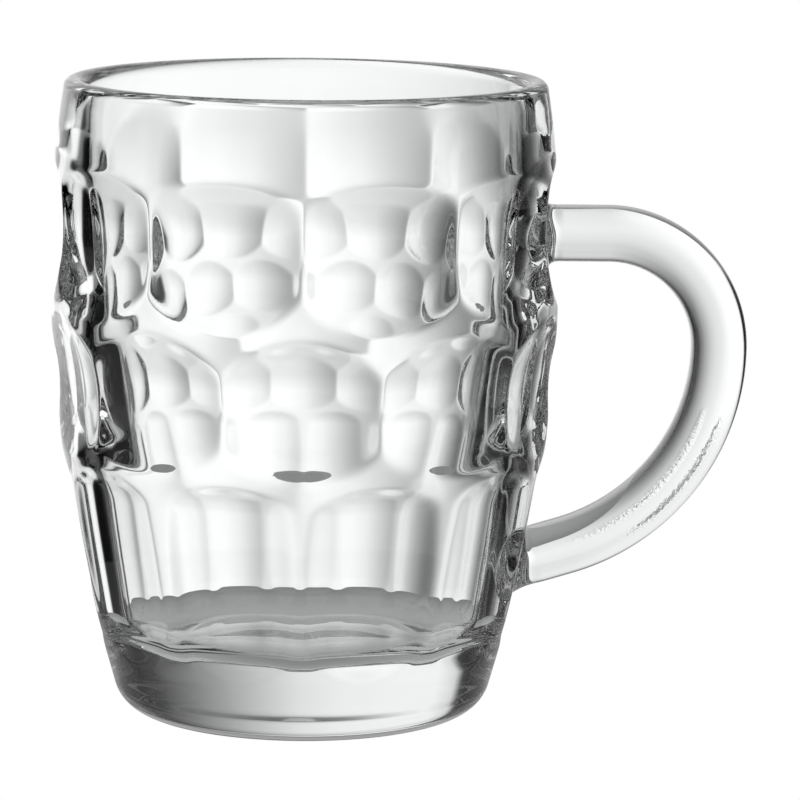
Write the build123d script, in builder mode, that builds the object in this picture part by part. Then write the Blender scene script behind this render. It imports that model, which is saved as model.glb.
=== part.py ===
from build123d import *
from math import acos, atan, atan2, cos, degrees, hypot, pi, sin, sqrt
import os

os.makedirs("parts", exist_ok=True)

# Dimpled glass beer mug in millimetres: a pressed glass body with three rows of moulded hollows, and
# a glass handle stuck on while hot. The mug stands on Z = 0 about the Z axis, its handle along +X.

# Heights of the body's bands, from the table up
foot_height = 16.5
flute_height = 36.7
row_land = 0.6
lower_cup_height = 27.8
upper_cup_height = 28.8
band_height = 16.0

# Radius of the barrel at its widest, a little below the middle of the upper cups, and how far the lip,
# the foot of the ribs and the foot band stand inside it
crest_radius = 50.65
crest_drop = 5.6
rim_inset = 2.65
rib_taper = 8.3
foot_inset = 1.55
foot_taper = 4.6
rib_step = 4.0

# Standing ring and the shallow hollow inside it
standing_ring_width = 5.5
push_up = 1.0

# Drinking bowl
lip_wall = 3.9
mouth_depth = 12.0
heel_wall = 7.25
floor_height = 15.5

# Rounded corners of the pressed profile
base_corner = 7.5
step_corner = 2.0
bowl_corner = 8.0

# Moulded hollows: round-edged cups in two staggered rows, arched flutes
columns = 10
upper_cup_depth = 3.8
lower_cup_depth = 3.6
cup_sweep_radius = 160.0
flute_depth = 1.6
flute_toe = 0.9
flute_bow_radius = 600.0
flute_run_out_radius = 12.0
flute_run_out_angle = 60.0

# Handle
handle_reach = 37.65
grip_width = 14.0
grip_thickness = 11.0
arm_run = 9.0
lower_run = 5.6
lower_root_height = 30.4
flare_length = 4.5
flare_spread = 2.0
upper_flare_shift = 1.0
lower_flare_shift = 0.2
root_depth = 1.5

# How far a cutter or a run-out reaches past the crests
cutter_reach = 6.0

# Band edges
flute_top = foot_height + flute_height
lower_cup_bottom = flute_top + row_land
lower_cup_top = lower_cup_bottom + lower_cup_height
upper_cup_bottom = lower_cup_top + row_land
upper_cup_top = upper_cup_bottom + upper_cup_height
mug_height = upper_cup_top + band_height
rib_foot_height = foot_height + rib_step
lip_radius = lip_wall / 2
lip_height = mug_height - lip_radius

# Radii of the lip, the foot of the ribs, the foot band at its top and at the table, and the bowl
rim_radius = crest_radius - rim_inset
rib_foot_radius = crest_radius - rib_taper
foot_radius = rib_foot_radius - foot_inset
base_radius = foot_radius - foot_taper
bowl_radius = rim_radius - lip_wall
bowl_foot_radius = rib_foot_radius - heel_wall

# The barrel is two arcs, both upright at its widest: one down to the foot of the ribs, one up to the lip
arm_height = (upper_cup_bottom + upper_cup_top) / 2
crest_height = arm_height - crest_drop
belly_fall = crest_height - rib_foot_height
belly_arc = (rib_taper**2 + belly_fall**2) / (2 * rib_taper)
neck_rise = lip_height - crest_height
neck_arc = (rim_inset**2 + neck_rise**2) / (2 * rim_inset)
pitch_angle = 360 / columns
half_span = pi * crest_radius / columns + cutter_reach
outside_radius = crest_radius + cutter_reach


def rib_radius(height):
    """Radius of the barrel, and so of the rib crests, at a height."""
    arc = belly_arc if height < crest_height else neck_arc
    return crest_radius - arc + sqrt(arc**2 - (height - crest_height) ** 2)


def cup_circle(bottom, top, depth):
    """Circle that grinds a cup between two heights: its centre radius, its height and its own radius."""
    middle = (bottom + top) / 2
    floor = rib_radius(middle) - depth
    half_chord = hypot(top - bottom, rib_radius(top) - rib_radius(bottom)) / 2
    sagitta = (rib_radius(top) + rib_radius(bottom)) / 2 - floor
    arc_radius = (half_chord**2 + sagitta**2) / (2 * sagitta)
    tilt = atan((rib_radius(top) - rib_radius(bottom)) / (top - bottom))
    return floor + arc_radius * cos(tilt), middle - arc_radius * sin(tilt), arc_radius


def corner_at(profile, point):
    """The corner of a profile nearest to a point of its plane."""
    return profile.vertices().sort_by_distance(point)[0]


# Cutters for the hollows, each made where it grinds the column that faces +X
def cup_cutter(bottom, top, depth):
    """Slice of a round-edged wheel that grinds one cup between two heights."""
    centre_radius, centre_height, arc_radius = cup_circle(bottom, top, depth)
    wheel_axis = Axis((centre_radius - arc_radius + cup_sweep_radius, 0, 0), (0, 0, 1))
    edge_angle = degrees(acos((centre_radius - outside_radius) / arc_radius))
    with BuildPart() as wheel:
        with BuildSketch(Plane.XZ):
            with BuildLine():
                edge = CenterArc((centre_radius, centre_height), arc_radius, 180 - edge_angle, 2 * edge_angle)
                Line(edge @ 1, edge @ 0)
            make_face()
        revolve(axis=wheel_axis, revolution_arc=degrees(half_span / cup_sweep_radius))
        mirror(about=Plane.XZ)
    return wheel.part


upper_cup_cutter = cup_cutter(upper_cup_bottom, upper_cup_top, upper_cup_depth)
lower_cup_cutter = cup_cutter(lower_cup_bottom, lower_cup_top, lower_cup_depth)

# A flute's floor is one long arc, from its toe just inside the foot band up to its arched run-out
flute_rise = sqrt(2 * flute_run_out_radius * flute_depth - flute_depth**2)
floor_end = Vector(rib_radius(flute_top - flute_rise) - flute_depth, flute_top - flute_rise)
flute_start = Vector(foot_radius - flute_toe, foot_height)
floor_chord = floor_end - flute_start
floor_inset = sqrt(flute_bow_radius**2 - floor_chord.length**2 / 4)
floor_centre = (flute_start + floor_end) / 2 + Vector(-floor_chord.Y, floor_chord.X).normalized() * floor_inset
with BuildPart() as flute_cutter:
    with BuildSketch(Plane.XZ):
        with BuildLine():
            floor = RadiusArc(flute_start, floor_end, -flute_bow_radius)
            tail = Line(flute_start, flute_start - Vector(0, cutter_reach))
            run_out = JernArc(floor @ 1, floor % 1, flute_run_out_radius, -flute_run_out_angle)
            Polyline(run_out @ 1, (outside_radius, (run_out @ 1).Y), (outside_radius, (tail @ 1).Y), tail @ 1)
        make_face()
    extrude(amount=half_span, both=True)

# Pressed body: the turned profile, then the hollows ground round it
with BuildPart() as mug_body:
    with BuildSketch(Plane.XZ) as profile:
        with BuildLine():
            ring_inner = (base_radius - base_corner - standing_ring_width, 0)
            TangentArc((0, push_up), ring_inner, tangent=(1, 0))
            Polyline(ring_inner, (base_radius, 0), (foot_radius, foot_height), (rib_foot_radius, rib_foot_height))
            crest = (crest_radius, crest_height)
            TangentArc(crest, (rib_foot_radius, rib_foot_height), tangent=(0, -1))
            TangentArc(crest, (rim_radius, lip_height), tangent=(0, 1))
            ThreePointArc(
                (rim_radius, lip_height), (rim_radius - lip_radius, mug_height), (bowl_radius, lip_height)
            )
            Line((bowl_radius, lip_height), (bowl_radius, mug_height - mouth_depth))
            TangentArc(
                (bowl_radius, mug_height - mouth_depth), (bowl_foot_radius, floor_height), tangent=(0, -1)
            )
            Polyline((bowl_foot_radius, floor_height), (0, floor_height), (0, push_up))
        make_face()
        fillet(corner_at(profile, (base_radius, 0)), base_corner)
        fillet(corner_at(profile, (foot_radius, foot_height)), step_corner)
        fillet(corner_at(profile, (rib_foot_radius, rib_foot_height)), step_corner)
        fillet(corner_at(profile, (bowl_foot_radius, floor_height)), bowl_corner)
    revolve(axis=Axis.Z)
    with PolarLocations(0, columns):
        add(upper_cup_cutter, mode=Mode.SUBTRACT)
    with PolarLocations(0, columns, start_angle=pitch_angle / 2):
        add(lower_cup_cutter, mode=Mode.SUBTRACT)
    with PolarLocations(0, columns):
        add(flute_cutter.part, mode=Mode.SUBTRACT)
mug_body.part.label = "mug_body"
export_step(mug_body.part, "parts/mug_body.step")

# Stuck-on handle: a level arm, a quarter-round bow and one long arc back to the wall. Both ends flare
# where the hot glass spreads on the body, in an upper cup and in the flute below it.
bow_outer = crest_radius + handle_reach - grip_thickness / 2
upper_root = Vector(rib_radius(arm_height) - upper_cup_depth, 0, arm_height)
upper_flare = upper_root + Vector(flare_length, 0, 0)
bow_start = upper_flare.X + arm_run
bow_radius = bow_outer - bow_start
bow_height = arm_height - bow_radius
root_drop = floor_centre.Y - lower_root_height
root_reach = sqrt(flute_bow_radius**2 - root_drop**2)
lower_root = Vector(floor_centre.X + root_reach, 0, lower_root_height)

# The lower arc leaves the bow upright, and the straight lower arm is its tangent from the root
root_run = bow_outer - lower_root.X
root_rise = bow_height - lower_root.Z
lower_arm = lower_run + flare_length
lower_arc = (root_run**2 + root_rise**2 - lower_arm**2) / (2 * root_run)
lower_turn = atan2(root_rise, lower_arc - root_run) - atan(lower_arm / lower_arc)
arc_centre = Vector(bow_outer - lower_arc, 0, bow_height)
arc_end = arc_centre + Vector(cos(lower_turn), 0, -sin(lower_turn)) * lower_arc
lower_flare = lower_root + (arc_end - lower_root).normalized() * flare_length

# Each flare: its start on the grip, its root on the glass, the wall's slope there, and its shift upwards
root_flares = [
    (upper_flare, upper_root, 0, -upper_flare_shift),
    (lower_flare, lower_root, root_drop / root_reach, lower_flare_shift),
]
flare_stations = (0, 0.5, 0.8, 1)

with BuildPart() as handle:
    with BuildLine(Plane.XZ) as grip_line:
        Line((upper_flare.X, arm_height), (bow_start, arm_height))
        RadiusArc((bow_start, arm_height), (bow_outer, bow_height), bow_radius)
        TangentArc((bow_outer, bow_height), (arc_end.X, arc_end.Z), tangent=(0, -1))
        Line((arc_end.X, arc_end.Z), (lower_flare.X, lower_flare.Z))
    with BuildSketch(Plane(upper_flare, x_dir=(0, 1, 0), z_dir=(1, 0, 0))):
        Ellipse(grip_width / 2, grip_thickness / 2)
    sweep(path=grip_line.wires()[0])
    for start, root, slope, shift in root_flares:
        grip_direction = (root - start).normalized()
        into_wall = Vector(-1, 0, slope).normalized()
        for station in flare_stations:
            spread = flare_spread * station**3
            centre = start + (root - start) * station + Vector(0, 0, shift * station**3)
            facing = grip_direction * (1 - station) + into_wall * station
            with BuildSketch(Plane(centre, x_dir=(0, 1, 0), z_dir=facing)):
                Ellipse(grip_width / 2 + spread, grip_thickness / 2 + spread)
        loft()
        with BuildSketch(Plane(centre, x_dir=(0, 1, 0), z_dir=into_wall)):
            Ellipse(grip_width / 2 + flare_spread, grip_thickness / 2 + flare_spread)
        extrude(amount=root_depth)
    add(mug_body.part, mode=Mode.SUBTRACT)
handle.part.label = "handle"
export_step(handle.part, "parts/handle.step")
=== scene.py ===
import logging
from dataclasses import dataclass
from enum import Enum
from typing import Any

import bpy
import numpy as np
from mathutils import Matrix, Vector


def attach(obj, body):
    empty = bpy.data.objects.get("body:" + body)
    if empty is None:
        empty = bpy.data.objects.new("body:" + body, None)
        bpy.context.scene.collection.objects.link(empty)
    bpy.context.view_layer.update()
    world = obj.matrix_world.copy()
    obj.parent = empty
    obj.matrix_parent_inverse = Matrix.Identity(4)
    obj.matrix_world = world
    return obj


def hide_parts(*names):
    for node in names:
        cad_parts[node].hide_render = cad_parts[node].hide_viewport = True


# A dimpled beer mug in clear glass: the pressed body, the handle stuck on it while hot, and the white
# studio that it stands in. Sizes are in millimetres, about the mug's axis, with the handle along +X.

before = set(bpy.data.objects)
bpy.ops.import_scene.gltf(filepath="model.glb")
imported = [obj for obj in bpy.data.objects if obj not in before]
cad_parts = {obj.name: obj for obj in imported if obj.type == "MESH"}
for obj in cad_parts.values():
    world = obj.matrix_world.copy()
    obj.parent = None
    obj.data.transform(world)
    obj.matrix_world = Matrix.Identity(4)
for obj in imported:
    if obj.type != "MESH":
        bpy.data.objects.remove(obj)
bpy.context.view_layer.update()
MM = 0.001
FULL_TURN = 2.0 * np.pi
REACH_STEPS = 8
log = logging.getLogger("dimple_mug")


class Stagger(Enum):
    """Where a row's columns stand, as a share of the pitch from the handle's side."""

    ON_HANDLE = 0.0
    BETWEEN = 0.5


class CupRow(Enum):
    """The two rows of cups."""

    UPPER = "upper"
    LOWER = "lower"


class Coat(Enum):
    """Which faces of a glass piece a finish goes on, as material indices."""

    SURFACE = 0
    WELD = 1


def linear_colour(code: str) -> tuple[float, float, float, float]:
    """Turn an sRGB hex colour into linear light.

    Args:
        code: six hex digits, red first.

    Returns:
        Linear red, green and blue, and an alpha of one.
    """
    srgb = np.array([int(code[i : i + 2], 16) for i in (0, 2, 4)]) / 255.0
    linear = np.where(srgb <= 0.04045, srgb / 12.92, ((srgb + 0.055) / 1.055) ** 2.4)
    return (*linear.tolist(), 1.0)


def add_node(
    tree: bpy.types.NodeTree, kind: str, settings: dict[str, Any] | None = None, **inputs: Any
) -> bpy.types.Node:
    """Add a shader node, set its properties, and set or link its inputs.

    Args:
        tree: node tree that gets the node.
        kind: node type name.
        settings: node properties by name.
        **inputs: values or output sockets by input name, with spaces as underscores, or by index as i0, i1.

    Returns:
        The new node.
    """
    node = tree.nodes.new(kind)
    for name, value in (settings or {}).items():
        setattr(node, name, value)
    for name, value in inputs.items():
        key = int(name[1:]) if name[0] == "i" and name[1:].isdigit() else name.replace("_", " ")
        socket = node.inputs[key]
        if isinstance(value, bpy.types.NodeSocket):
            tree.links.new(value, socket)
        else:
            socket.default_value = value
    return node


def grid_quads(rows: int, columns: int) -> np.ndarray:
    """Corner indices of a grid that closes on itself along its columns.

    Args:
        rows: number of rings.
        columns: points in each ring.

    Returns:
        One row of four indices for each quad, ring by ring.
    """
    ring, step = np.meshgrid(np.arange(rows - 1), np.arange(columns), indexing="ij")
    after = (step + 1) % columns
    this, above = ring * columns, (ring + 1) * columns
    return np.stack([this + step, this + after, above + after, above + step], axis=-1).reshape(-1, 4)


def closed_tube(
    name: str, rings: np.ndarray, first_pole: np.ndarray, last_pole: np.ndarray
) -> bpy.types.Object:
    """Make a closed mesh from rings of points and a pole at each end.

    The surface is a function of two parameters, ring number and place round the ring. A fan of triangles
    closes the first ring to its pole and the last ring to its own, so the shell has no open edge.

    Args:
        name: name of the object and its mesh.
        rings: points in millimetres, shaped rings by places by three.
        first_pole: point that closes the first ring.
        last_pole: point that closes the last ring.

    Returns:
        The object, at the origin, with smooth faces in the order fan, rings, fan.
    """
    count, places, _ = rings.shape
    points = np.concatenate([rings.reshape(-1, 3), first_pole[None], last_pole[None]]) * MM
    place = np.arange(places)
    after = (place + 1) % places
    last = (count - 1) * places
    first_fan = np.stack([np.full(places, count * places), after, place], axis=-1)
    last_fan = np.stack([np.full(places, count * places + 1), last + place, last + after], axis=-1)
    quads = grid_quads(count, places)
    corners = np.concatenate([first_fan.ravel(), quads.ravel(), last_fan.ravel()]).astype(np.int32)
    sizes = np.concatenate([np.full(places, 3), np.full(len(quads), 4), np.full(places, 3)])
    starts = np.concatenate([[0], np.cumsum(sizes)[:-1]]).astype(np.int32)
    mesh = bpy.data.meshes.new(name)
    mesh.vertices.add(len(points))
    mesh.vertices.foreach_set("co", points.astype(np.float32).ravel())
    mesh.loops.add(len(corners))
    mesh.loops.foreach_set("vertex_index", corners)
    mesh.polygons.add(len(sizes))
    mesh.polygons.foreach_set("loop_start", starts)
    mesh.polygons.foreach_set("use_smooth", np.ones(len(sizes), dtype=bool))
    mesh.update(calc_edges=True)
    mesh.validate()
    piece = bpy.data.objects.new(name, mesh)
    bpy.context.scene.collection.objects.link(piece)
    return piece


@dataclass(frozen=True)
class GlassFinish:
    """Soda-lime glass with a fire-polished skin.

    It is clear, with sharp refraction from a polished skin and a slow ripple that bends straight lines a
    little. Where the hot glass was chilled, fine wrinkles break the light into specks.
    """

    name: str
    tint: str = "fdfefe"
    refraction: float = 1.52
    roughness: float = 0.0
    ripple_size: float = 14.0
    ripple_depth: float = 0.012
    ripple_detail: float = 1.0
    chill_size: float = 0.7
    chill_depth: float = 0.0
    chill_detail: float = 2.0

    def surface(self) -> bpy.types.Material:
        """Make the glass: one clear shader, a slow ripple of the skin, and wrinkles where it was chilled.

        Returns:
            The material.
        """
        material = bpy.data.materials.new(self.name)
        material.use_nodes = True
        tree = material.node_tree
        shader = next(node for node in tree.nodes if node.type == "BSDF_PRINCIPLED")
        shader.inputs["Base Color"].default_value = linear_colour(self.tint)
        shader.inputs["IOR"].default_value = self.refraction
        shader.inputs["Transmission Weight"].default_value = 1.0
        shader.inputs["Roughness"].default_value = self.roughness
        place = add_node(tree, "ShaderNodeTexCoord").outputs["Object"]
        ripple = add_node(
            tree, "ShaderNodeTexNoise", Vector=place, Scale=1.0 / (self.ripple_size * MM),
            Detail=self.ripple_detail,
        )
        skin = add_node(tree, "ShaderNodeBump", Height=ripple.outputs[0], Distance=self.ripple_depth * MM)
        if self.chill_depth:
            chill = add_node(tree, "ShaderNodeAttribute", {"attribute_name": "chill"}).outputs["Fac"]
            grain = add_node(
                tree, "ShaderNodeTexNoise", Vector=place, Scale=1.0 / (self.chill_size * MM),
                Detail=self.chill_detail,
            )
            wrinkle = add_node(
                tree, "ShaderNodeMath", {"operation": "MULTIPLY"}, i0=grain.outputs[0], i1=chill
            )
            skin = add_node(
                tree, "ShaderNodeBump", Height=wrinkle.outputs[0], Distance=self.chill_depth * MM,
                Normal=skin.outputs[0],
            )
        tree.links.new(skin.outputs[0], shader.inputs["Normal"])
        return material

    def weld(self) -> bpy.types.Material:
        """Make the fused face between two pieces of glass, where light goes straight on.

        Returns:
            The material.
        """
        material = bpy.data.materials.new(self.name + "_fused")
        material.use_nodes = True
        shader = next(node for node in material.node_tree.nodes if node.type == "BSDF_PRINCIPLED")
        shader.inputs["Base Color"].default_value = linear_colour(self.tint)
        shader.inputs["IOR"].default_value = self.refraction
        shader.inputs["Transmission Weight"].default_value = 1.0
        shader.inputs["Alpha"].default_value = 0.0
        return material

    def dress(self, piece: bpy.types.Object, welded: np.ndarray) -> None:
        """Put the glass on a piece, and the fused face where it meets the other one.

        Args:
            piece: object to dress.
            welded: for each face, whether it lies on the weld.
        """
        piece.data.materials.append(self.surface())
        piece.data.materials.append(self.weld())
        coats = np.where(welded, Coat.WELD.value, Coat.SURFACE.value).astype(np.int32)
        piece.data.polygons.foreach_set("material_index", coats)


@dataclass(frozen=True)
class Pad:
    """Oval of the body's skin that a handle's end is fused to, upright on the +X side."""

    height: float
    half_width: float
    half_height: float


@dataclass(frozen=True)
class BodyForm:
    """The pressed body's sizes and the formulas of its skin."""

    foot_height: float = 16.5
    flute_height: float = 36.7
    row_land: float = 0.6
    lower_cup_height: float = 27.8
    upper_cup_height: float = 28.8
    band_height: float = 16.0
    crest_radius: float = 50.65
    crest_drop: float = 5.6
    rim_inset: float = 2.65
    rib_taper: float = 8.3
    foot_inset: float = 1.55
    foot_taper: float = 4.6
    rib_step: float = 4.0
    standing_ring_width: float = 5.5
    push_up: float = 1.0
    lip_wall: float = 3.9
    mouth_depth: float = 12.0
    heel_wall: float = 7.25
    floor_height: float = 15.5
    base_corner: float = 7.5
    bowl_corner: float = 8.0
    shoulder: float = 0.7
    lip_roll: float = 2.6
    columns: int = 10
    upper_cup_depth: float = 3.8
    lower_cup_depth: float = 3.2
    cup_overlap: float = 0.89
    upper_cup_fill: tuple[float, float] = (0.0, 0.6)
    lower_cup_fill: tuple[float, float] = (0.25, -0.2)
    flute_depth: float = 1.6
    flute_toe: float = 0.9
    flute_bow_radius: float = 600.0
    flute_run_out_radius: float = 12.0
    run_out_share: float = 0.95
    run_out_slope: float = 3.0
    foot_fall: float = 0.5
    edge_softness: float = 0.19

    @property
    def flute_top(self) -> float:
        """Height of the flutes' arches."""
        return self.foot_height + self.flute_height

    @property
    def lower_cups(self) -> tuple[float, float]:
        """Bottom and top heights of the lower row of cups."""
        bottom = self.flute_top + self.row_land
        return bottom, bottom + self.lower_cup_height

    @property
    def upper_cups(self) -> tuple[float, float]:
        """Bottom and top heights of the upper row of cups."""
        bottom = self.lower_cups[1] + self.row_land
        return bottom, bottom + self.upper_cup_height

    @property
    def mug_height(self) -> float:
        """Height of the lip."""
        return self.upper_cups[1] + self.band_height

    @property
    def lip_height(self) -> float:
        """Height of the middle of the lip's half circle."""
        return self.mug_height - self.lip_wall / 2

    @property
    def arm_height(self) -> float:
        """Height of the handle's level arm, half way up the upper cups."""
        return sum(self.upper_cups) / 2

    @property
    def crest_height(self) -> float:
        """Height where the barrel is widest."""
        return self.arm_height - self.crest_drop

    @property
    def rim_radius(self) -> float:
        """Outside radius of the barrel at the lip."""
        return self.crest_radius - self.rim_inset

    @property
    def rib_foot_radius(self) -> float:
        """Radius of the rib crests at their foot."""
        return self.crest_radius - self.rib_taper

    @property
    def foot_radius(self) -> float:
        """Radius of the plain foot at its top."""
        return self.rib_foot_radius - self.foot_inset

    @property
    def base_radius(self) -> float:
        """Radius of the foot's wall carried down to the table."""
        return self.foot_radius - self.foot_taper

    @property
    def bowl_radius(self) -> float:
        """Radius of the bowl at its mouth."""
        return self.rim_radius - self.lip_wall

    @property
    def bowl_foot_radius(self) -> float:
        """Radius of the bowl's wall carried down to its floor."""
        return self.rib_foot_radius - self.heel_wall

    @property
    def belly_arc(self) -> float:
        """Radius of the barrel's arc below its widest height."""
        fall = self.crest_height - self.foot_height - self.rib_step
        return (self.rib_taper**2 + fall**2) / (2 * self.rib_taper)

    @property
    def neck_arc(self) -> float:
        """Radius of the barrel's arc above its widest height."""
        rise = self.lip_height - self.crest_height
        return (self.rim_inset**2 + rise**2) / (2 * self.rim_inset)

    @property
    def lip_lean(self) -> float:
        """Angle by which the barrel leans in where it runs into the lip."""
        return float(np.arcsin((self.lip_height - self.crest_height) / self.neck_arc))

    @property
    def pitch(self) -> float:
        """Angle from one column to the next."""
        return FULL_TURN / self.columns

    @property
    def flute_end(self) -> float:
        """Height where a flute's floor starts to curl out into its arch."""
        rise = self.flute_depth * (2 * self.flute_run_out_radius - self.flute_depth)
        return self.flute_top - float(np.sqrt(rise))

    @property
    def flute_centre(self) -> tuple[float, float]:
        """Middle of the long arc that a flute's floor follows, as a distance from the axis and a height."""
        start = np.array([self.foot_radius - self.flute_toe, self.foot_height])
        end = np.array([float(self.rib_radius(self.flute_end)) - self.flute_depth, self.flute_end])
        chord = end - start
        length = np.hypot(*chord)
        inset = np.sqrt(self.flute_bow_radius**2 - length**2 / 4)
        centre = (start + end) / 2 + np.array([-chord[1], chord[0]]) / length * inset
        return float(centre[0]), float(centre[1])

    def rib_radius(self, height: np.ndarray | float) -> np.ndarray | float:
        """Radius of the barrel, and so of the rib crests: two arcs that both stand upright at its widest.

        Args:
            height: heights.

        Returns:
            Radii.
        """
        arc = np.where(height < self.crest_height, self.belly_arc, self.neck_arc)
        return self.crest_radius - arc + np.sqrt(arc**2 - (height - self.crest_height) ** 2)

    def soft_least(self, *radii: np.ndarray) -> np.ndarray:
        """Smooth minimum: minus the log of the sum of falling exponentials, on the scale of the soft edge.

        Args:
            *radii: arrays of one shape.

        Returns:
            An array just below the least of them, rounded where two come close.
        """
        stack = np.stack(np.broadcast_arrays(*radii))
        least = stack.min(axis=0)
        total = np.exp(-(stack - least) / self.edge_softness).sum(axis=0)
        return least - self.edge_softness * np.log(total)

    def blank_radius(self, height: np.ndarray) -> np.ndarray:
        """Outside radius before the hollows: the foot's cone, the rib step and the barrel.

        The lesser of step and barrel makes the ribbed part, and the greater of that and the foot makes the
        whole, both with soft corners.

        Args:
            height: heights from the foot's corner up to the lip.

        Returns:
            Radii.
        """
        foot = self.base_radius + self.foot_taper * height / self.foot_height
        step = self.foot_radius + self.foot_inset * (height - self.foot_height) / self.rib_step
        ribbed = self.soft_least(step, self.rib_radius(height))
        foot = foot - self.foot_fall * np.maximum(0.0, height - self.foot_height - self.rib_step)
        return -self.soft_least(-ribbed, -foot)

    def from_column(self, angle: np.ndarray, stagger: Stagger) -> tuple[np.ndarray, np.ndarray]:
        """Angles from the nearest column of a row and from the next nearest.

        Args:
            angle: angles about the axis from +X.
            stagger: where the row's columns stand.

        Returns:
            Both angles, the first one signed.
        """
        turned = angle - stagger.value * self.pitch
        nearest = (turned + self.pitch / 2) % self.pitch - self.pitch / 2
        return nearest, self.pitch - np.abs(nearest)

    def cup_cut(self, turn: np.ndarray, height: np.ndarray, row: CupRow) -> np.ndarray:
        """Radius of a cup: the barrel less a dish that is a parabola both ways.

        The dish is one less the squares of the shares of the cup's half width and half height. A part of
        their product is added back, which fills the corners and makes the round cup squarer.

        Args:
            turn: angle from the column.
            height: heights.
            row: which row of cups.

        Returns:
            Radii.
        """
        bottom, top = self.upper_cups if row is CupRow.UPPER else self.lower_cups
        depth = self.upper_cup_depth if row is CupRow.UPPER else self.lower_cup_depth
        heel, crown = self.upper_cup_fill if row is CupRow.UPPER else self.lower_cup_fill
        up = (height - (bottom + top) / 2) / ((top - bottom) / 2)
        across = turn * self.cup_overlap / (self.pitch / 2)
        corner = np.where(up > 0.0, crown, heel) * np.minimum(across**2, 1.0) * np.minimum(up**2, 1.0)
        return self.rib_radius(height) - depth * (1.0 - across**2 - up**2 + corner)

    def flute_floor(self, height: np.ndarray) -> np.ndarray:
        """Distance of a flute's floor from the axis: straight down at its toe, then one long arc.

        Args:
            height: heights up to the arch.

        Returns:
            Distances.
        """
        radius, middle = self.flute_centre
        lift = np.clip(height, self.foot_height, self.flute_end) - middle
        return radius + np.sqrt(self.flute_bow_radius**2 - lift**2)

    def flute_slope(self, height: float) -> float:
        """How fast a flute's floor widens with height, as a ratio."""
        lift = height - self.flute_centre[1]
        return float(-lift / np.sqrt(self.flute_bow_radius**2 - lift**2))

    def flute_cut(self, turn: np.ndarray, height: np.ndarray) -> np.ndarray:
        """Radius of a flat flute: its floor's arc, which curls out on a small circle, then runs out straight.

        Args:
            turn: angle from the column.
            height: heights.

        Returns:
            Radii.
        """
        run = self.flute_run_out_radius
        past = np.maximum(0.0, height - self.flute_end)
        bent = np.minimum(past, self.run_out_share * run)
        curl = self.flute_slope(self.flute_end) * bent + run - np.sqrt(run**2 - bent**2)
        return (self.flute_floor(height) + curl + self.run_out_slope * (past - bent)) / np.cos(turn)

    def skin_radius(self, angle: np.ndarray, height: np.ndarray) -> np.ndarray:
        """Outside radius of the pressed body: the soft least of the blank and every hollow near the point.

        Args:
            angle: angles about the axis from +X.
            height: heights.

        Returns:
            Radii.
        """
        near, next_near = self.from_column(angle, Stagger.ON_HANDLE)
        mid, next_mid = self.from_column(angle, Stagger.BETWEEN)
        cuts = [self.cup_cut(turn, height, CupRow.UPPER) for turn in (near, next_near)]
        cuts += [self.cup_cut(turn, height, CupRow.LOWER) for turn in (mid, next_mid)]
        cuts += [self.flute_cut(turn, height) for turn in (near, next_near)]
        return self.soft_least(self.blank_radius(height), *cuts)

    def skin_reach(self, across: np.ndarray, height: np.ndarray) -> np.ndarray:
        """X of the skin on the handle's side, found by stepping the angle until radius and offset agree.

        Args:
            across: Y of each point.
            height: heights.

        Returns:
            X of each point.
        """
        radius = np.broadcast_to(self.crest_radius, np.broadcast(across, height).shape)
        for _ in range(REACH_STEPS):
            radius = self.skin_radius(np.arcsin(across / radius), height)
        return np.sqrt(radius**2 - across**2)


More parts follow.
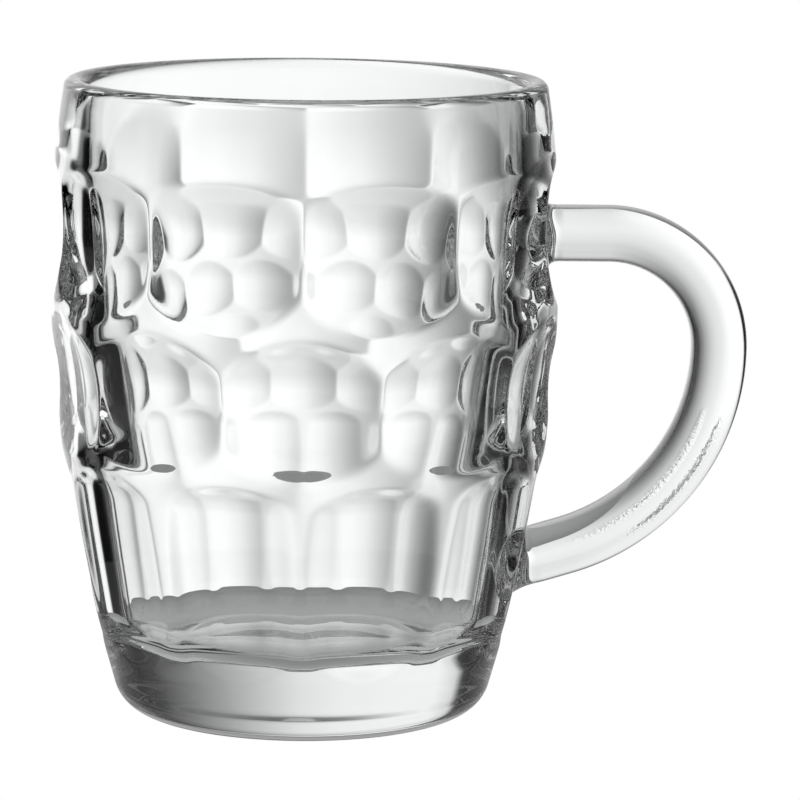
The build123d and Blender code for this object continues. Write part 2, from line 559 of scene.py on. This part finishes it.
@dataclass
class MugBody:
    """The pressed body: one closed skin from the middle of its underside to the middle of its bowl."""

    form: BodyForm
    finish: GlassFinish
    pads: tuple[Pad, ...]
    wall_rows: int = 206
    bowl_rows: int = 34
    places_per_column: int = 32
    rib_crowding: float = 0.62
    edge_crowding: float = 1.6
    edge_reach: float = 1.8
    band_share: float = 0.4
    lean_width: float = 2.0
    fine_heights: int = 2000
    flank_share: float = 0.72
    pad_margin: float = 0.001
    dish_rings: int = 10
    ring_rings: int = 4
    corner_rings: int = 14
    lip_rings: int = 20
    heel_rings: int = 12
    floor_rings: int = 5
    heel_clearance: float = 12.0
    heel_turn: float = 0.12
    floor_middle: float = 2.0

    @property
    def places(self) -> np.ndarray:
        """Even angles round the mug, starting at +X."""
        count = self.places_per_column * self.form.columns
        return np.arange(count) * FULL_TURN / count

    def crowded(self, lean: np.ndarray | float) -> np.ndarray:
        """Angles drawn together along the ribs with a sine of the place in the pitch.

        Args:
            lean: one where the ribs stand between the handle's columns, minus one where they stand on them.

        Returns:
            Angles, one row for each lean.
        """
        pull = self.rib_crowding * np.sin(self.form.columns * self.places) / self.form.columns
        return self.places + np.asarray(lean)[..., None] * pull

    def wall_grid(self, start: float, top: float) -> tuple[np.ndarray, np.ndarray]:
        """Angles and heights of the wall's grid, closer together along ribs and the edges of the bands.

        The rows' spacing goes down with a sum of bell curves about the bands' edges and goes up on the plain
        rim. The columns lean to the lower cups' ribs in their band and to the other rows' ribs outside it.

        Args:
            start: lowest height.
            top: highest height.

        Returns:
            Angles and heights, rows by places.
        """
        form = self.form
        low, high = form.lower_cups
        edges = np.array([form.foot_height + 2.0, form.flute_top, high, form.upper_cups[1] - 1.0])
        fine = np.linspace(start, top, self.fine_heights)
        bells = np.exp(-(((fine[:, None] - edges) / self.edge_reach) ** 2))
        crowd = 1.0 + self.edge_crowding * bells.sum(axis=1)
        crowd *= np.where(fine > form.upper_cups[1] + self.edge_reach, self.band_share, 1.0)
        share = np.cumsum(crowd)
        share = (share - share[0]) / (share[-1] - share[0])
        heights = np.interp(np.linspace(0.0, 1.0, self.wall_rows), share, fine)
        above_low = np.clip((heights - low) / self.lean_width + 0.5, 0.0, 1.0)
        below_high = np.clip((high - heights) / self.lean_width + 0.5, 0.0, 1.0)
        inside = above_low * below_high
        angle = self.crowded(1.0 - 2.0 * inside)
        return angle, np.broadcast_to(heights[:, None], angle.shape).copy()

    def on_pad(self, pad: Pad, angle: np.ndarray, height: np.ndarray) -> tuple[np.ndarray, np.ndarray]:
        """Place of points on a pad's oval, as shares of its half sizes across and up.

        Args:
            pad: the pad.
            angle: angles about the axis.
            height: heights.

        Returns:
            Shares across and up.
        """
        reach = self.form.skin_radius(np.zeros(1), np.full(1, pad.height))[0]
        wrapped = (angle + np.pi) % FULL_TURN - np.pi
        return np.clip(wrapped, -0.5, 0.5) * reach / pad.half_width, (height - pad.height) / pad.half_height

    def snapped(self, angle: np.ndarray, height: np.ndarray) -> tuple[np.ndarray, np.ndarray]:
        """Move the points nearest to a pad's edge onto it, sideways at its flanks and upright elsewhere.

        Args:
            angle: angles of the wall's grid.
            height: heights of the wall's grid.

        Returns:
            The angles and heights with the nearest points moved.
        """
        for pad in self.pads:
            across, up = self.on_pad(pad, angle, height)
            flank = np.abs(up) < self.flank_share
            edge_across = np.sign(across) * np.sqrt(np.maximum(0.0, 1.0 - up**2))
            edge_up = np.sign(up) * np.sqrt(np.maximum(0.0, 1.0 - across**2))
            half_column = 0.5 * np.abs(np.gradient(across, axis=1))
            half_row = 0.5 * np.abs(np.gradient(up, axis=0))
            sideways = flank & (np.abs(across - edge_across) < half_column)
            upright = ~flank & (np.abs(across) < self.flank_share) & (np.abs(up - edge_up) < half_row)
            reach = self.form.skin_radius(np.zeros(1), np.full(1, pad.height))[0]
            angle = np.where(sideways, edge_across * pad.half_width / reach, angle)
            height = np.where(upright, pad.height + edge_up * pad.half_height, height)
        return angle, height

    def meridian(self) -> tuple[np.ndarray, np.ndarray, np.ndarray, np.ndarray]:
        """Radii and heights of the plain stretches, from the underside's middle up and from the lip down.

        The underside is a shallow dish and a flat ring, and the foot's corner an arc. The lip is a quarter
        circle outside and a fuller quarter oval inside. The bowl's wall is an upright arc, its heel a
        rounded corner.

        Returns:
            Radii and heights below the wall, then radii and heights above and inside it.
        """
        form = self.form
        ring_inner = form.base_radius - form.base_corner - form.standing_ring_width
        dish = np.linspace(1.0 / self.dish_rings, 1.0, self.dish_rings)
        lean = np.arctan(form.foot_taper / form.foot_height)
        tangent = form.base_corner * np.tan((np.pi / 2 - lean) / 2)
        ring = np.linspace(ring_inner, form.base_radius - tangent, self.ring_rings + 1)[1:]
        turn = np.linspace(0.0, np.pi / 2 - lean, self.corner_rings + 1)[1:]
        corner_radius = ring[-1] + form.base_corner * np.sin(turn)
        corner_height = form.base_corner * (1.0 - np.cos(turn))
        low_radius = np.concatenate([ring_inner * dish, ring, corner_radius])
        dish_height = form.push_up * (1.0 - dish**2)
        low_height = np.concatenate([dish_height, np.zeros(self.ring_rings), corner_height])

        lip = form.lip_wall / 2
        sweep = np.linspace(form.lip_lean, np.pi, self.lip_rings + 1)[1:]
        bowl_radius = form.bowl_radius - form.shoulder
        inner = sweep > np.pi / 2
        lip_radius = form.rim_radius - lip + np.where(inner, lip + form.shoulder, lip) * np.cos(sweep)
        lip_height = form.mug_height - np.where(inner, form.lip_roll, lip) * (1.0 - np.sin(sweep))
        straight_end = form.mug_height - form.mouth_depth
        fall = straight_end - form.floor_height
        run = bowl_radius - form.bowl_foot_radius
        arc = (run**2 + fall**2) / (2 * run)
        wall_end = form.floor_height + self.heel_clearance
        wall_height = np.linspace(lip_height[-1], wall_end, self.bowl_rows)[1:]
        below = np.maximum(0.0, straight_end - wall_height)
        wall_radius = bowl_radius - arc + np.sqrt(arc**2 - below**2)
        heel_middle = form.floor_height + form.bowl_corner
        heel_start = bowl_radius - arc + np.sqrt(arc**2 - (straight_end - heel_middle) ** 2)
        centre = heel_start - form.bowl_corner
        swing = np.linspace(self.heel_turn, np.pi / 2, self.heel_rings)
        heel_radius = centre + form.bowl_corner * np.cos(swing)
        heel_height = heel_middle - form.bowl_corner * np.sin(swing)
        floor_radius = np.linspace(centre, self.floor_middle, self.floor_rings + 1)[1:]
        floor_height = np.full(self.floor_rings, form.floor_height)
        high_radius = np.concatenate([lip_radius, wall_radius, heel_radius, floor_radius])
        high_height = np.concatenate([lip_height, wall_height, heel_height, floor_height])
        return low_radius, low_height, high_radius, high_height

    def build(self) -> bpy.types.Object:
        """Make the body's closed skin and dress it.

        Returns:
            The body.
        """
        form = self.form
        angles = self.crowded(1.0)
        low_radius, low_height, high_radius, high_height = self.meridian()
        top = form.lip_height + form.lip_wall / 2 * np.sin(form.lip_lean)
        angle, height = self.snapped(*(grid[1:] for grid in self.wall_grid(low_height[-1], top)))
        radius = form.skin_radius(angle, height)
        wall = np.stack([radius * np.cos(angle), radius * np.sin(angle), height], axis=-1)
        low, high = (
            np.stack(
                [
                    around[:, None] * np.cos(angles),
                    around[:, None] * np.sin(angles),
                    np.broadcast_to(up[:, None], (len(up), len(angles))),
                ],
                axis=-1,
            )
            for around, up in ((low_radius, low_height), (high_radius, high_height))
        )
        rings = np.concatenate([low, wall, high])
        first_pole = np.array([0.0, 0.0, form.push_up])
        last_pole = np.array([0.0, 0.0, form.floor_height])
        body = closed_tube("pressed_body", rings, first_pole, last_pole)
        self.finish.dress(body, self.on_pads(angle, height, len(low), len(high)))
        return body

    def on_pads(
        self, angle: np.ndarray, height: np.ndarray, rings_below: int, rings_above: int
    ) -> np.ndarray:
        """Which faces lie wholly on a pad.

        Args:
            angle: angles of the wall's grid.
            height: heights of the wall's grid.
            rings_below: rings before the wall.
            rings_above: rings after the wall.

        Returns:
            One truth value for each face, in the mesh's order.
        """
        inside = np.zeros(angle.shape, dtype=bool)
        for pad in self.pads:
            inside |= np.hypot(*self.on_pad(pad, angle, height)) < 1.0 + self.pad_margin
        plain = [np.zeros((rings, angle.shape[1]), dtype=bool) for rings in (rings_below, rings_above)]
        inside = np.concatenate([plain[0], inside, plain[1]])
        fan = np.zeros(angle.shape[1], dtype=bool)
        return np.concatenate([fan, inside.ravel()[grid_quads(*inside.shape)].all(axis=1), fan])


@dataclass
class Handle:
    """The stuck-on handle: an oval section along an arm, a bow and a long arc, with flared ends."""

    form: BodyForm
    finish: GlassFinish
    reach: float = 37.65
    grip_width: float = 14.0
    grip_thickness: float = 11.0
    arm_run: float = 9.0
    lower_run: float = 5.6
    lower_root_height: float = 30.4
    flare_length: float = 4.5
    flare_spread: float = 2.0
    upper_flare_shift: float = 1.0
    lower_flare_shift: float = 0.2
    squaring: float = 0.32
    chill_span: tuple[float, float] = (35.0, 63.0)
    chill_fade: float = 9.0
    chill_streaks: tuple[tuple[float, float], ...] = ((-0.17, 0.06), (0.27, 0.1))
    places: int = 128
    flare_rings: int = 28
    cap_rings: int = 10
    grip_rings: int = 240

    @property
    def upper_pad(self) -> Pad:
        """Where the arm is fused, in an upper cup."""
        return self.pad_at(self.form.arm_height - self.upper_flare_shift)

    @property
    def lower_pad(self) -> Pad:
        """Where the lower arm is fused, on a flute."""
        return self.pad_at(self.lower_root_height + self.lower_flare_shift)

    def pad_at(self, height: float) -> Pad:
        """The pad of an end whose oval has its middle at a height."""
        half_width = self.grip_width / 2 + self.flare_spread
        return Pad(height, half_width, self.grip_thickness / 2 + self.flare_spread)

    def centre_line(self) -> tuple[np.ndarray, np.ndarray]:
        """Points and directions of the grip in X and Z: arm, quarter bow, long arc, lower arm.

        Returns:
            Points and unit directions, from the upper flare to the lower one.
        """
        form = self.form
        upper_root = float(form.rib_radius(form.arm_height)) - form.upper_cup_depth
        lower_root = float(form.flute_floor(self.lower_root_height))
        outer = form.crest_radius + self.reach - self.grip_thickness / 2
        arm_start = upper_root + self.flare_length
        bow_start = arm_start + self.arm_run
        bow = outer - bow_start
        bow_height = form.arm_height - bow
        run = outer - lower_root
        rise = bow_height - self.lower_root_height
        lower_arm = self.lower_run + self.flare_length
        arc = (run**2 + rise**2 - lower_arm**2) / (2 * run)
        turn = np.arctan2(rise, arc - run) - np.arctan(lower_arm / arc)
        ends = np.cumsum([self.arm_run, bow * np.pi / 2, arc * turn, self.lower_run])
        along = np.linspace(0.0, ends[-1], self.grip_rings)
        bend = np.clip((along - ends[0]) / bow, 0.0, np.pi / 2)
        swing = np.clip((along - ends[1]) / arc, 0.0, turn)
        level = np.minimum(along, ends[0])
        down = np.maximum(0.0, along - ends[2])
        heading = bend + swing
        x = arm_start + level + bow * np.sin(bend) - arc * (1.0 - np.cos(swing)) + down * np.cos(heading)
        z = form.arm_height - bow * (1.0 - np.cos(bend)) - arc * np.sin(swing) - down * np.sin(heading)
        return np.stack([x, z], axis=-1), np.stack([np.cos(heading), -np.sin(heading)], axis=-1)

    def section(self, fullness: np.ndarray) -> tuple[np.ndarray, np.ndarray]:
        """Unit oval round each section: across along Y, and out from the loop's middle.

        A full oval has flatter sides: its cosine and sine are raised to a power a little below one.

        Args:
            fullness: how much of that power each ring takes, from 0 to 1.

        Returns:
            Both shares, rings by places.
        """
        place = np.arange(self.places) * FULL_TURN / self.places
        power = 1.0 - self.squaring * fullness[:, None]
        across, out = (np.sign(share) * np.abs(share) ** power for share in (np.cos(place), np.sin(place)))
        return across, out

    def rings_at(
        self, centres: np.ndarray, headings: np.ndarray, spread: np.ndarray, fullness: np.ndarray
    ) -> np.ndarray:
        """Oval rings square to their headings.

        Args:
            centres: middle of each ring in X and Z.
            headings: direction of each ring in X and Z.
            spread: what each ring adds to the oval's half sizes.
            fullness: how much of the flatter oval each ring takes.

        Returns:
            Points, rings by places by three.
        """
        across, out = self.section(fullness)
        normal = np.stack([-headings[:, 1], headings[:, 0]], axis=-1)
        half_width = self.grip_width / 2 + spread
        half_height = self.grip_thickness / 2 + spread
        offset = out[:, :, None] * half_height[:, None, None] * normal[:, None, :]
        flat = centres[:, None, :] + offset
        side = across * half_width[:, None]
        return np.stack([flat[..., 0], side, flat[..., 1]], axis=-1)

    def flare(
        self, start: np.ndarray, heading: np.ndarray, root_height: float, slope: float, pad: Pad
    ) -> np.ndarray:
        """Rings of one end, from the grip to the body, widening with the cube of the way gone.

        The last ring lies on the body's skin round the pad, and the rings before it are drawn towards it
        with the fourth power of the way gone.

        Args:
            start: where the grip ends, in X and Z.
            heading: direction from there to the body.
            root_height: height where the grip's middle meets the body.
            slope: how fast the body widens with height there.
            pad: oval on the body.

        Returns:
            Points, rings by places by three, with the pad's ring last.
        """
        share = np.linspace(0.0, 1.0, self.flare_rings)
        root = np.array([float(self.form.skin_reach(np.zeros(1), np.full(1, root_height))[0]), root_height])
        into_wall = np.array([-1.0, slope]) / np.hypot(1.0, slope)
        facing = heading * (1.0 - share[:, None]) + into_wall * share[:, None]
        facing = facing / np.linalg.norm(facing, axis=1, keepdims=True)
        centres = start + (root - start) * share[:, None]
        centres[:, 1] += (pad.height - root_height) * share**3
        fullness = 1.0 - share**2 * (3.0 - 2.0 * share)
        rings = self.rings_at(centres, facing, self.flare_spread * share**3, fullness)
        out = np.sin(np.arange(self.places) * FULL_TURN / self.places)
        outward = np.sign(rings[-1, self.places // 4, 2] - pad.height)
        edge_height = pad.height + pad.half_height * out * outward
        edge_across = rings[-1, :, 1]
        edge = np.stack([self.form.skin_reach(edge_across, edge_height), edge_across, edge_height], axis=-1)
        return rings + (edge - rings[-1])[None] * share[:, None, None] ** 4

    def cap(self, edge: np.ndarray, pad: Pad) -> np.ndarray:
        """Rings that close an end over the pad, each nearer to its middle, all on the body's skin.

        Args:
            edge: the pad's ring.
            pad: oval on the body.

        Returns:
            Points, rings by places by three, with the smallest ring last.
        """
        share = np.linspace(1.0, 1.0 / self.cap_rings, self.cap_rings)[1:, None]
        across = edge[None, :, 1] * share
        height = pad.height + (edge[None, :, 2] - pad.height) * share
        return np.stack([self.form.skin_reach(across, height), across, height], axis=-1)

    def build(self) -> bpy.types.Object:
        """Make the handle's closed skin and dress it.

        Returns:
            The handle.
        """
        line, headings = self.centre_line()
        grip = self.rings_at(line, headings, np.zeros(len(line)), np.ones(len(line)))
        upper = self.flare(line[0], np.array([-1.0, 0.0]), self.form.arm_height, 0.0, self.upper_pad)
        slope = self.form.flute_slope(self.lower_root_height)
        lower = self.flare(line[-1], headings[-1], self.lower_root_height, slope, self.lower_pad)
        upper_cap = self.cap(self.mirrored(upper)[-1], self.upper_pad)
        lower_cap = self.cap(lower[-1], self.lower_pad)
        upper = self.mirrored(upper)
        rings = np.concatenate([upper_cap[::-1], upper[::-1], grip[1:-1], lower, lower_cap])
        first_pole, last_pole = (
            np.array([float(self.form.skin_reach(np.zeros(1), np.full(1, pad.height))[0]), 0.0, pad.height])
            for pad in (self.upper_pad, self.lower_pad)
        )
        handle = closed_tube("stuck_on_handle", rings, first_pole, last_pole)
        chill = handle.data.attributes.new("chill", "FLOAT", "POINT")
        wrinkled = np.append(self.chilled(rings).ravel(), [0.0, 0.0])
        chill.data.foreach_set("value", wrinkled.astype(np.float32))
        welded = np.zeros((len(rings) - 1, self.places), dtype=bool)
        welded[: len(upper_cap)] = True
        welded[-len(lower_cap) :] = True
        fan = np.ones(self.places, dtype=bool)
        self.finish.dress(handle, np.concatenate([fan, welded.ravel(), fan]))
        return handle

    def chilled(self, rings: np.ndarray) -> np.ndarray:
        """How wrinkled the skin is: streaks along the face of the lower arm, where the hot glass was chilled.

        Each streak is a bell over the sine of the place round the section, faded in and out with height.

        Args:
            rings: points of the handle, rings by places by three.

        Returns:
            Share from 0 to 1 at each point, rings by places.
        """
        place = np.arange(self.places) * FULL_TURN / self.places
        out = np.sin(place)
        face = sum(np.exp(-(((out - middle) / width) ** 2)) for middle, width in self.chill_streaks)
        face = np.where(np.cos(place) < 0.0, face, 0.0)
        low, high = self.chill_span
        height = rings[..., 2]
        fade_in = np.clip((height - low) / self.chill_fade, 0.0, 1.0)
        fade_out = np.clip((high - height) / self.chill_fade, 0.0, 1.0)
        return face * fade_in * fade_out

    def mirrored(self, rings: np.ndarray) -> np.ndarray:
        """Rings of the upper end in the order of the grip's places, since its heading is turned about."""
        return np.roll(rings[:, ::-1], 1, axis=1)


@dataclass
class Studio:
    """A glowing floor disc, white to the camera, with painted light and shade for the glass; soft light from
    behind with darker sides; and the camera.
    """

    floor_radius: float = 112.0
    floor_sides: int = 96
    floor_gap: float = 0.2
    floor_colour: str = "ffffff"
    # The floor's glow for the glass is painted light: it falls off from the mug's axis, with painted shade
    # towards the front.
    floor_fade: tuple[float, float] = (25.0, 105.0)
    floor_painted_light: tuple[float, float] = (0.5, 0.22)
    floor_front: tuple[float, float] = (-70.0, 10.0)
    front_share: float = 0.1
    camera_place: tuple[float, float, float] = (5.66, -892.05, 208.05)
    camera_pitch: float = 9.26
    camera_yaw: float = 0.87
    camera_roll: float = 0.63
    camera_range: float = 100.0
    focal_length: float = 203.24
    sensor_width: float = 36.0
    bounces: int = 32
    mirror_bounces: int = 12
    # Light by compass angle in degrees, from straight behind the mug at 0, with its handle's side positive
    light_round: tuple[tuple[float, float], ...] = (
        (-180.0, 0.65), (-135.0, 0.65), (-100.0, 0.35), (-82.0, 0.2), (-72.0, 0.006), (-40.0, 0.004),
        (-36.0, 0.06), (-32.0, 0.95), (-24.0, 1.22), (-8.0, 1.14), (0.0, 1.0), (8.0, 0.72),
        (16.0, 0.46), (25.0, 0.25), (36.0, 0.07), (46.0, 0.012), (72.0, 0.006), (82.0, 0.2),
        (100.0, 0.35), (135.0, 0.45), (180.0, 0.65),
    )
    light_lean: float = 9.0
    lean_span: tuple[float, float] = (-12.0, 8.0)
    lean_side: tuple[float, float] = (-15.0, -35.0)
    dim_span: tuple[float, float] = (-10.0, 2.0)
    upper_share: float = 0.8
    fade_span: tuple[float, float] = (18.0, 42.0)
    top_light: float = 0.07

    def build_camera(self) -> None:
        """Set the camera at the photograph's place and angle."""
        pitch, yaw, roll = np.radians([self.camera_pitch, self.camera_yaw, self.camera_roll])
        forward = np.array([np.sin(yaw) * np.cos(pitch), np.cos(yaw) * np.cos(pitch), -np.sin(pitch)])
        right = np.cross(forward, [0.0, 0.0, 1.0])
        right /= np.linalg.norm(right)
        up = np.cross(right, forward)
        side = right * np.cos(roll) + up * np.sin(roll)
        top = up * np.cos(roll) - right * np.sin(roll)
        turn = Matrix(np.stack([side, top, -forward], axis=-1).tolist()).to_4x4()
        lens = bpy.data.cameras.new("photo_camera")
        lens.sensor_fit = "HORIZONTAL"
        lens.sensor_width = self.sensor_width
        lens.lens = self.focal_length
        lens.clip_end = self.camera_range
        camera = bpy.data.objects.new("photo_camera", lens)
        camera.matrix_world = Matrix.Translation(Vector(self.camera_place) * MM) @ turn
        bpy.context.scene.collection.objects.link(camera)
        bpy.context.scene.camera = camera

    def build_floor(self) -> None:
        """Lay the pale floor, a disc: white to the camera, and a softer glow to the glass that stands on it.

        The disc is no lamp, so its glow is painted light that stands for how the floor is lit. It falls off
        with distance from the mug's axis, and painted shade darkens it towards the front.
        """
        turn = np.linspace(0.0, FULL_TURN, self.floor_sides, endpoint=False)
        across, along = self.floor_radius * np.cos(turn), self.floor_radius * np.sin(turn)
        edge = np.stack([across, along, np.full(self.floor_sides, -self.floor_gap)], axis=-1) * MM
        mesh = bpy.data.meshes.new("floor")
        mesh.from_pydata(edge.tolist(), [], [list(range(self.floor_sides))])
        floor = bpy.data.objects.new("floor", mesh)
        bpy.context.scene.collection.objects.link(floor)
        material = bpy.data.materials.new("floor_painted_glow")
        material.use_nodes = True
        tree = material.node_tree
        tree.nodes.clear()
        place = add_node(tree, "ShaderNodeTexCoord").outputs["Object"]
        away = add_node(tree, "ShaderNodeVectorMath", {"operation": "LENGTH"}, i0=place).outputs["Value"]
        depth = add_node(tree, "ShaderNodeSeparateXYZ", i0=place).outputs["Y"]
        # Painted light: the glow that the glass sees falls off outwards from the mug's axis.
        near, far = self.floor_fade
        fade = add_node(
            tree, "ShaderNodeMapRange", Value=away, From_Min=near * MM, From_Max=far * MM,
            To_Min=self.floor_painted_light[0], To_Max=self.floor_painted_light[1],
        )
        # Painted shade: the glow is darker towards the front, on the camera's side.
        front, back = self.floor_front
        turned = add_node(
            tree, "ShaderNodeMapRange", Value=depth, From_Min=front * MM, From_Max=back * MM,
            To_Min=self.front_share,
        )
        level = add_node(
            tree, "ShaderNodeMath", {"operation": "MULTIPLY"}, i0=fade.outputs[0], i1=turned.outputs[0]
        )
        shown = self.white_to_camera(tree, level.outputs[0])
        colour = linear_colour(self.floor_colour)
        # The floor glows though it is no lamp: plain white to the camera, painted light and shade to the
        # glass.
        white = add_node(tree, "ShaderNodeEmission", Color=colour, Strength=shown)
        add_node(tree, "ShaderNodeOutputMaterial", Surface=white.outputs[0])
        mesh.materials.append(material)

    def white_to_camera(self, tree: bpy.types.NodeTree, level: bpy.types.NodeSocket) -> bpy.types.NodeSocket:
        """Full strength for the camera's own rays, which keeps the ground white, and a level for the rest.

        Args:
            tree: node tree of the floor or of the surround.
            level: strength that the glass sees.

        Returns:
            The strength to show.
        """
        seen = add_node(tree, "ShaderNodeLightPath").outputs["Is Camera Ray"]
        return add_node(tree, "ShaderNodeMath", {"operation": "MAXIMUM"}, i0=seen, i1=level).outputs[0]

    def build_world(self) -> None:
        """Surround the mug with soft panels: bright behind it, falling off to dark flags at both sides."""
        world = bpy.data.worlds.new("studio")
        world.use_nodes = True
        bpy.context.scene.world = world
        tree = world.node_tree
        tree.nodes.clear()
        way = add_node(tree, "ShaderNodeTexCoord").outputs["Generated"]
        parts = add_node(tree, "ShaderNodeSeparateXYZ", i0=way).outputs
        around = add_node(tree, "ShaderNodeMath", {"operation": "ARCTAN2"}, i0=parts["X"], i1=parts["Y"])
        rise = add_node(tree, "ShaderNodeMath", {"operation": "ARCSINE"}, i0=parts["Z"])
        low, high = np.radians(self.lean_span)
        lean = add_node(
            tree, "ShaderNodeMapRange", Value=rise.outputs[0], From_Min=low, From_Max=high,
            To_Min=0.0, To_Max=np.radians(self.light_lean),
        )
        right, left = np.radians(self.lean_side)
        beside = add_node(
            tree, "ShaderNodeMapRange", {"interpolation_type": "SMOOTHSTEP"}, Value=around.outputs[0],
            From_Min=right, From_Max=left, To_Min=0.0, To_Max=1.0,
        )
        leaning = add_node(
            tree, "ShaderNodeMath", {"operation": "MULTIPLY_ADD"}, i0=lean.outputs[0],
            i1=beside.outputs[0], i2=around.outputs[0],
        )
        share = add_node(
            tree, "ShaderNodeMapRange", Value=leaning.outputs[0], From_Min=-np.pi, From_Max=np.pi,
            To_Min=0.0, To_Max=1.0,
        )
        ramp = add_node(tree, "ShaderNodeValToRGB", Fac=share.outputs[0])
        stops = ramp.color_ramp.elements
        while len(stops) < len(self.light_round):
            stops.new(0.5)
        for stop, (turn, level) in zip(stops, self.light_round):
            stop.position = (turn + 180.0) / 360.0
            stop.color = (level, level, level, 1.0)
        low, high = np.radians(self.dim_span)
        dim = add_node(
            tree, "ShaderNodeMapRange", Value=rise.outputs[0], From_Min=low, From_Max=high,
            To_Min=1.0, To_Max=self.upper_share,
        )
        panel = add_node(
            tree, "ShaderNodeMath", {"operation": "MULTIPLY"}, i0=ramp.outputs[0], i1=dim.outputs[0]
        )
        low, high = np.radians(self.fade_span)
        overhead = add_node(
            tree, "ShaderNodeMapRange", {"interpolation_type": "SMOOTHSTEP"}, Value=rise.outputs[0],
            From_Min=low, From_Max=high, To_Min=0.0, To_Max=1.0,
        )
        light = add_node(
            tree, "ShaderNodeMix", {"data_type": "FLOAT"}, i0=overhead.outputs[0], i2=panel.outputs[0],
            i3=self.top_light,
        )
        shown = self.white_to_camera(tree, light.outputs[0])
        surround = add_node(tree, "ShaderNodeBackground", Color=linear_colour("ffffff"), Strength=shown)
        add_node(tree, "ShaderNodeOutputWorld", Surface=surround.outputs[0])

    def build(self) -> None:
        """Set up the camera, floor, light and how the picture is developed."""
        self.build_camera()
        self.build_floor()
        self.build_world()
        scene = bpy.context.scene
        scene.view_settings.view_transform = "Standard"
        scene.cycles.max_bounces = self.bounces
        scene.cycles.transmission_bounces = self.bounces
        scene.cycles.glossy_bounces = self.mirror_bounces
        scene.cycles.transparent_max_bounces = self.bounces


def main() -> None:
    """Build the handle and the body in place of their solids, then the studio, and log each piece's face
    count.
    """
    logging.basicConfig(level=logging.INFO, format="%(name)s %(message)s")
    form = BodyForm()
    handle = Handle(form, GlassFinish("fire_polished_handle_glass", chill_depth=1.8))
    body = MugBody(form, GlassFinish("pressed_body_glass"), (handle.upper_pad, handle.lower_pad))
    for piece, node, slot in (
        (body.build(), "mug_body", "body_glass"),
        (handle.build(), "handle", "handle_glass"),
    ):
        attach(piece, "root")
        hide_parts(node)
        log.info("%s: %d faces", piece.name, len(piece.data.polygons))
    Studio().build()


if __name__ == "__main__":
    main()
